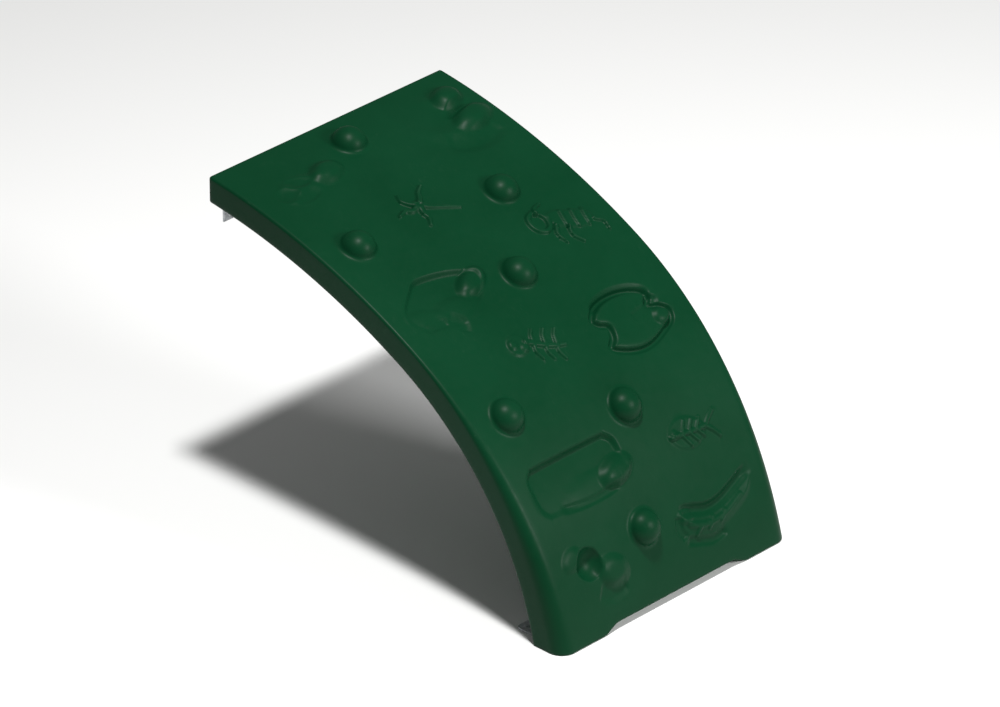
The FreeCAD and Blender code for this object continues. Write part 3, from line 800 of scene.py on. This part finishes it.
def build_body():
    rows = stations()
    cells = columns()
    n_rows, n_cols = len(rows) - 1, len(cells)
    steps = np.arange(FINE) / FINE

    # the full fine lattice as flat arrays; only the points that are used become vertices
    run_f, inset_f = [], []
    for (r0, i0, f0), (r1, i1, f1) in zip(rows[:-1], rows[1:]):
        run_f += list(r0 + (r1 - r0) * steps)
        inset_f += list(i0 + (i1 - i0) * steps)
    run_f.append(rows[-1][0])
    inset_f.append(rows[-1][1])
    kind_c, place_c = [], []
    for kind, a, b, smallest in cells:
        kind_c += [kind] * FINE
        place_c += list(a + (b - a) * steps)
    run, kind = np.meshgrid(np.array(run_f), np.array(kind_c), indexing="ij")
    inset, place = np.meshgrid(np.array(inset_f), np.array(place_c), indexing="ij")

    px, py, pz, local = skin_points(kind, place, run, inset)
    first, last = py[0:1, :], pz[-1:, :]
    px, py, pz = slide_to_ends(px, py, pz, local, run, first, last, kind)
    py = bracket_seats(px, py, pz, kind == BACK)
    grid = np.stack(well_depths(px, py, pz, kind == BACK), axis=2)

    # cells where the fine surface leaves the coarse one are split
    coarse = grid[::FINE, ::FINE]
    wrap = np.concatenate([coarse, coarse[:, :1]], axis=1)
    full = np.concatenate([grid, grid[:, :1]], axis=1)
    split = np.zeros((n_rows, n_cols), bool)
    for a in range(FINE + 1):
        for b in range(FINE + 1):
            s, t = a / FINE, b / FINE
            flat = (wrap[:-1, :-1] * (1 - s) * (1 - t) + wrap[1:, :-1] * s * (1 - t)
                    + wrap[:-1, 1:] * (1 - s) * t + wrap[1:, 1:] * s * t)
            real = full[a::FINE, b::FINE][:n_rows, :n_cols]
            split |= np.linalg.norm(real - flat, axis=2) > FLATNESS
    kinds = np.array([cell[0] for cell in cells])
    allowed = np.array([row[2] for row in rows[:-1]])
    allowed[-PLAIN_END_ROWS:] = False
    split &= allowed[:, None] & np.isin(kinds, (FACE, BACK))[None, :]
    down = np.where(split, FINE, 1)
    least = np.array([cell[3] for cell in cells])
    across = np.where(split, FINE, least[None, :])

    index = {}
    verts = []
    width = n_cols * FINE

    def vertex(i, j):
        key = (i, j % width)
        if key not in index:
            index[key] = len(verts)
            verts.append(grid[key])
        return index[key]

    def edge_along_row(i, j0, j1, cell_i, cell_j, above):
        """Vertices of a horizontal edge, with those that the neighbour row needs."""
        other = cell_i - 1 if above else cell_i + 1
        need = across[cell_i, cell_j]
        on_border = i % FINE == 0
        if on_border and 0 <= other < n_rows:
            need = max(need, across[other, cell_j])
        step = FINE // need if on_border else j1 - j0
        return [vertex(i, j) for j in range(j0, j1, min(step, j1 - j0))]

    def edge_down(j, i0, i1, cell_i, cell_j, left):
        """The same for an edge that runs down the face."""
        other = (cell_j - 1 if left else cell_j + 1) % n_cols
        need = down[cell_i, cell_j]
        on_border = j % FINE == 0
        if on_border:
            need = max(need, down[cell_i, other])
        step = FINE // need if on_border else i1 - i0
        return [vertex(i, j) for i in range(i0, i1, min(step, i1 - i0))]

    faces = []
    for ci in range(n_rows):
        for cj in range(n_cols):
            di, dj = FINE // down[ci, cj], FINE // across[ci, cj]
            for i in range(ci * FINE, (ci + 1) * FINE, di):
                for j in range(cj * FINE, (cj + 1) * FINE, dj):
                    top = edge_along_row(i, j, j + dj, ci, cj, True)
                    bottom = edge_along_row(i + di, j, j + dj, ci, cj, False)
                    left = edge_down(j, i, i + di, ci, cj, True)
                    right = edge_down(j + dj, i, i + di, ci, cj, False)
                    end_top, start_bottom = vertex(i, j + dj), vertex(i + di, j)
                    corner = vertex(i + di, j + dj)
                    ring = left + [start_bottom] + bottom[1:] + [corner]
                    faces.append(ring + right[:0:-1] + [end_top] + top[:0:-1])

    # plane ends
    for i, flip in ((0, False), (n_rows * FINE, True)):
        ci = 0 if i == 0 else n_rows - 1
        parts = {}
        for cj in range(n_cols):
            step = FINE // across[ci, cj]
            line = [vertex(i, j) for j in range(cj * FINE, (cj + 1) * FINE + 1, step)]
            parts.setdefault(kinds[cj], []).append(line)
        faces += end_cap(parts, verts, flip)

    mesh = bpy.data.meshes.new("climber_skin")
    mesh.from_pydata([tuple(v * MM for v in p) for p in verts], [], faces)
    mesh.update()
    return mesh


def end_cap(parts, verts, flip):
    """Strips from the face's edge to the back's, and one face at each side."""
    face = parts[FACE]
    back = [line[::-1] for line in parts[BACK][::-1]]
    face_x = np.array([verts[line[0]][0] for line in face] + [verts[face[-1][-1]][0]])
    borders = [line[0] for line in face] + [face[-1][-1]]
    out = []
    used = 0
    for number, line in enumerate(back):
        nearest = int(np.argmin(np.abs(face_x - verts[line[-1]][0])))
        upto = len(face) if number == len(back) - 1 else max(nearest, used)
        ring = [line[0]] + [v for cell in face[used:upto] for v in cell[:-1]] + [borders[upto]]
        out.append(ring + line[:0:-1])
        used = upto
    for kinds in ((RIGHT_FRONT, RIGHT, RIGHT_BACK), (LEFT_BACK, LEFT, LEFT_FRONT)):
        ring = []
        for kind in kinds:
            for line in parts[kind]:
                ring += line[:-1]
        ring.append(parts[kinds[-1]][-1][-1])
        out.append(ring)
    return [ring[::-1] for ring in out] if flip else out


body_mesh = build_body()
climber = bpy.data.objects.new("climber_skin", body_mesh)
bpy.context.scene.collection.objects.link(climber)
body_mesh.shade_smooth()
body_mesh.set_sharp_from_angle(angle=math.radians(50))
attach(climber, "root")
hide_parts("climber_body")


# ------------------------------------------------------------------ materials

def new_material(name):
    material = bpy.data.materials.new(name)
    material.use_nodes = True
    nodes, links = material.node_tree.nodes, material.node_tree.links
    shader = nodes["Principled BSDF"]
    place = nodes.new("ShaderNodeTexCoord")
    return material, nodes, links, shader, place.outputs["Object"]


def noise(nodes, links, place, scale, detail=4.0, rough=0.5):
    node = nodes.new("ShaderNodeTexNoise")
    node.inputs["Scale"].default_value = scale
    node.inputs["Detail"].default_value = detail
    node.inputs["Roughness"].default_value = rough
    links.new(place, node.inputs["Vector"])
    return node.outputs["Fac"]


def ramp(nodes, links, source, low, high, start=0.0, end=1.0):
    node = nodes.new("ShaderNodeMapRange")
    node.inputs["From Min"].default_value = low
    node.inputs["From Max"].default_value = high
    node.inputs["To Min"].default_value = start
    node.inputs["To Max"].default_value = end
    links.new(source, node.inputs["Value"])
    return node.outputs["Result"]


def combine(nodes, links, how, a, b):
    node = nodes.new("ShaderNodeMath")
    node.operation = how
    for socket, value in zip(node.inputs, (a, b)):
        if isinstance(value, (int, float)):
            socket.default_value = value
        else:
            links.new(value, socket)
    return node.outputs[0]


def blend_colour(nodes, links, factor, a, b):
    node = nodes.new("ShaderNodeMix")
    node.data_type = "RGBA"
    for socket, value in ((node.inputs["Factor"], factor), (node.inputs[6], a), (node.inputs[7], b)):
        if isinstance(value, tuple):
            socket.default_value = value + (1.0,)
        elif isinstance(value, (int, float)):
            socket.default_value = value
        else:
            links.new(value, socket)
    return node.outputs[2]


def bumped(nodes, links, shader, parts):
    """Chains bump nodes: each part is (height, strength, distance in metres)."""
    normal = None
    for height, strength, distance in parts:
        node = nodes.new("ShaderNodeBump")
        node.inputs["Strength"].default_value = strength
        node.inputs["Distance"].default_value = distance
        links.new(height, node.inputs["Height"])
        if normal is not None:
            links.new(normal, node.inputs["Normal"])
        normal = node.outputs["Normal"]
    links.new(normal, shader.inputs["Normal"])


def moulded_plastic(name, dark, light, scuff):
    """Moulded polyethylene: clouded tone, fine grain, a slow ripple, and worn, scratched edges."""
    material, nodes, links, shader, place = new_material(name)
    cloud = noise(nodes, links, place, 3.2, 5.0, 0.55)
    mottle = noise(nodes, links, place, 46.0, 4.0, 0.6)
    colour = blend_colour(nodes, links, ramp(nodes, links, cloud, 0.35, 0.65), dark, light)
    speck = ramp(nodes, links, mottle, 0.62, 0.74, 0.0, 0.22)
    colour = blend_colour(nodes, links, speck, colour, light)
    geometry = nodes.new("ShaderNodeNewGeometry")
    edge = ramp(nodes, links, geometry.outputs["Pointiness"], 0.52, 0.60)
    patch = ramp(nodes, links, noise(nodes, links, place, 9.0, 6.0, 0.65), 0.48, 0.66)
    scratch_place = nodes.new("ShaderNodeMapping")
    scratch_place.inputs["Scale"].default_value = (1.0, 0.12, 0.12)
    links.new(place, scratch_place.inputs["Vector"])
    scratch = noise(nodes, links, scratch_place.outputs["Vector"], 420.0, 2.0, 0.5)
    scratches = ramp(nodes, links, scratch, 0.63, 0.70)
    worn = combine(nodes, links, "MULTIPLY", combine(nodes, links, "MULTIPLY", edge, patch), 0.35)
    marks = combine(nodes, links, "MULTIPLY", combine(nodes, links, "MULTIPLY", scratches, patch), 0.08)
    wear = combine(nodes, links, "MAXIMUM", worn, marks)
    colour = blend_colour(nodes, links, wear, colour, scuff)
    links.new(colour, shader.inputs["Base Color"])
    rough = ramp(nodes, links, mottle, 0.3, 0.7, 0.36, 0.46)
    rough = combine(nodes, links, "ADD", rough, combine(nodes, links, "MULTIPLY", wear, 0.5))
    links.new(rough, shader.inputs["Roughness"])
    shader.inputs["Specular IOR Level"].default_value = 0.07
    shader.inputs["IOR"].default_value = 1.5
    grain = noise(nodes, links, place, 900.0, 3.0, 0.6)
    ripple = noise(nodes, links, place, 24.0, 3.0, 0.5)
    bumped(nodes, links, shader, [(ripple, 0.25, 0.0025), (grain, 0.18, 0.0004)])
    return material


panel_plastic = moulded_plastic(
    "moulded_green", (0.0012, 0.0295, 0.0106), (0.0020, 0.0345, 0.0130), (0.06, 0.12, 0.08))
body_mesh.materials.append(panel_plastic)


def galvanised_steel(name):
    """Zinc coat: crystals a few millimetres across, each with its own grey and gloss."""
    material, nodes, links, shader, place = new_material(name)
    crystals = nodes.new("ShaderNodeTexVoronoi")
    crystals.inputs["Scale"].default_value = 130.0
    links.new(place, crystals.inputs["Vector"])
    tone = nodes.new("ShaderNodeSeparateColor")
    links.new(crystals.outputs["Color"], tone.inputs["Color"])
    colour = blend_colour(nodes, links, tone.outputs["Red"], (0.36, 0.38, 0.40), (0.56, 0.58, 0.60))
    stain = ramp(nodes, links, noise(nodes, links, place, 14.0, 6.0, 0.6), 0.52, 0.72, 0.0, 0.7)
    colour = blend_colour(nodes, links, stain, colour, (0.30, 0.30, 0.29))
    links.new(colour, shader.inputs["Base Color"])
    shader.inputs["Metallic"].default_value = 0.9
    rough = ramp(nodes, links, tone.outputs["Green"], 0.0, 1.0, 0.34, 0.52)
    rough = combine(nodes, links, "ADD", rough, combine(nodes, links, "MULTIPLY", stain, 0.25))
    links.new(rough, shader.inputs["Roughness"])
    lumps = noise(nodes, links, place, 60.0, 3.0, 0.5)
    bumped(nodes, links, shader, [(lumps, 0.25, 0.0008), (tone.outputs["Blue"], 0.10, 0.0002)])
    return material


def turned_metal(name, dark, light, gloss):
    """Machined metal: fine tool marks, small dents and a duller film in patches."""
    material, nodes, links, shader, place = new_material(name)
    film = noise(nodes, links, place, 85.0, 5.0, 0.6)
    colour = blend_colour(nodes, links, ramp(nodes, links, film, 0.35, 0.7), light, dark)
    links.new(colour, shader.inputs["Base Color"])
    shader.inputs["Metallic"].default_value = 1.0
    marks_place = nodes.new("ShaderNodeMapping")
    marks_place.inputs["Scale"].default_value = (0.3, 1.0, 1.0)
    links.new(place, marks_place.inputs["Vector"])
    marks = noise(nodes, links, marks_place.outputs["Vector"], 2400.0, 2.0, 0.5)
    links.new(ramp(nodes, links, film, 0.3, 0.7, gloss, gloss + 0.18), shader.inputs["Roughness"])
    dents = noise(nodes, links, place, 380.0, 2.0, 0.5)
    bumped(nodes, links, shader, [(dents, 0.15, 0.0003), (marks, 0.20, 0.0001)])
    return material


finishes = {
    "plug_plastic": moulded_plastic(
        "plug_green", (0.004, 0.035, 0.018), (0.006, 0.048, 0.024), (0.08, 0.15, 0.10)),
    "galvanised_steel": galvanised_steel("galvanised"),
    "stainless_steel": turned_metal("stainless", (0.42, 0.41, 0.40), (0.62, 0.61, 0.59), 0.24),
    "insert_brass": turned_metal("brass", (0.42, 0.29, 0.10), (0.72, 0.54, 0.24), 0.28),
}
for part in frame["record"]["subparts"]:
    if part["material_slot"] in finishes:
        for slot in frame["nodes"][part["node"]].material_slots:
            slot.material = finishes[part["material_slot"]]


# ------------------------------------------------------------------ stage

def plain(name, colour, rough):
    material, nodes, links, shader, place = new_material(name)
    shader.inputs["Base Color"].default_value = colour + (1.0,)
    shader.inputs["Roughness"].default_value = rough
    return material


ground_z = cad_low.z
floor_mesh = bpy.data.meshes.new("floor")
corners = [(x * FLOOR_HALF, y * FLOOR_HALF, ground_z)
           for x, y in ((-1, -1), (1, -1), (1, 1), (-1, 1))]
floor_mesh.from_pydata(corners, [], [(0, 1, 2, 3)])
floor = bpy.data.objects.new("floor", floor_mesh)
bpy.context.scene.collection.objects.link(floor)
floor_mesh.materials.append(plain("pale_floor", (0.88, 0.88, 0.87), 0.8))

bpy.context.scene.view_settings.view_transform = "Standard"
world = bpy.data.worlds.new("studio")
bpy.context.scene.world = world
world.use_nodes = True
world.node_tree.nodes["Background"].inputs["Color"].default_value = (1.0, 1.0, 1.0, 1.0)
world.node_tree.nodes["Background"].inputs["Strength"].default_value = WORLD_LIGHT


def aimed(obj, position, target):
    obj.location = position
    obj.rotation_euler = (Vector(target) - Vector(position)).to_track_quat("-Z", "Y").to_euler()


centre = (cad_low + cad_high) / 2


def area_light(name, direction, distance, size, power):
    """A soft square light that shines along a direction at the middle of the object."""
    light = bpy.data.lights.new(name, "AREA")
    light.size = size
    light.energy = power
    obj = bpy.data.objects.new(name, light)
    bpy.context.scene.collection.objects.link(obj)
    aimed(obj, centre - Vector(direction).normalized() * distance, centre)


area_light("key", **KEY_LIGHT)
area_light("front", **FRONT_LIGHT)

camera_data = bpy.data.cameras.new("camera")
camera = bpy.data.objects.new("camera", camera_data)
bpy.context.scene.collection.objects.link(camera)
camera_data.sensor_width = 36.0
camera_data.lens = LENS
camera_data.clip_end = 200.0
aimed(camera, CAMERA_PLACE, centre)
bpy.context.scene.camera = camera
